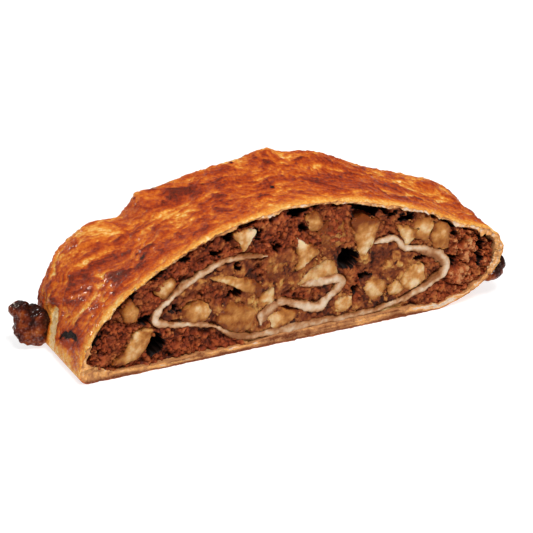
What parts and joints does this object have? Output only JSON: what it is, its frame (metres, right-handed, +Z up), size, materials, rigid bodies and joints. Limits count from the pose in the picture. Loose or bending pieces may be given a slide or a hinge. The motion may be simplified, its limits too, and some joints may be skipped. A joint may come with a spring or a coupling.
{
  "type": "apple strudel slice",
  "caption": "Slice of baked apple strudel, a domed dough wrap with an inner turn and a core fold of dough, brown crumb filling and bedded apple pieces in both cuts.",
  "frame": {"origin": "on the flat underside, midway between the two cuts and under the top of the crown", "axes": "+X across the roll towards its lip, +Y along the roll towards the far cut, +Z up"},
  "size_m": [0.1499, 0.038, 0.0478],
  "materials": {
    "crust": "egg-washed and baked, satin to glossy",
    "dough": "soft pale baked dough, matte",
    "crumb": "moist brown crumb, rough",
    "apple": "cooked apple flesh, moist",
    "caramel": "browned fruit juice, glossy"
  },
  "bodies": {
    "root": {"outer_dough": "crust", "inner_turn": "dough", "core_fold": "dough", "filling": "crumb", "caramel_left": "caramel", "caramel_right": "caramel", "apple_near_under_crown": "apple", "apple_near_long_sliver": "apple", "apple_near_leaning_wedge": "apple", "apple_near_pale_flap": "apple", "apple_near_broad_chunk": "apple", "apple_near_thin_edge": "apple", "apple_near_standing_wedge": "apple", "apple_near_right_wedge": "apple", "apple_near_right_chunk": "apple", "apple_near_right_block": "apple", "apple_near_round_large": "apple", "apple_near_round_middle": "apple", "apple_near_round_small": "apple", "apple_near_brown_block": "apple", "apple_near_by_core": "apple", "apple_near_in_left_turn": "apple", "apple_near_large_chunk": "apple", "apple_near_small_wedge": "apple", "apple_near_under_core": "apple", "apple_near_long_slice": "apple", "apple_near_left_small": "apple", "apple_near_over_left_turn": "apple", "apple_near_middle_chunk": "apple", "apple_far_under_crown": "apple", "apple_far_long_sliver": "apple", "apple_far_leaning_wedge": "apple", "apple_far_pale_flap": "apple", "apple_far_broad_chunk": "apple", "apple_far_standing_wedge": "apple", "apple_far_right_wedge": "apple", "apple_far_right_chunk": "apple", "apple_far_right_block": "apple", "apple_far_round_large": "apple", "apple_far_round_middle": "apple", "apple_far_brown_block": "apple", "apple_far_in_left_turn": "apple", "apple_far_large_chunk": "apple", "apple_far_long_slice": "apple", "apple_far_middle_chunk": "apple"}
  },
  "joints": []
}
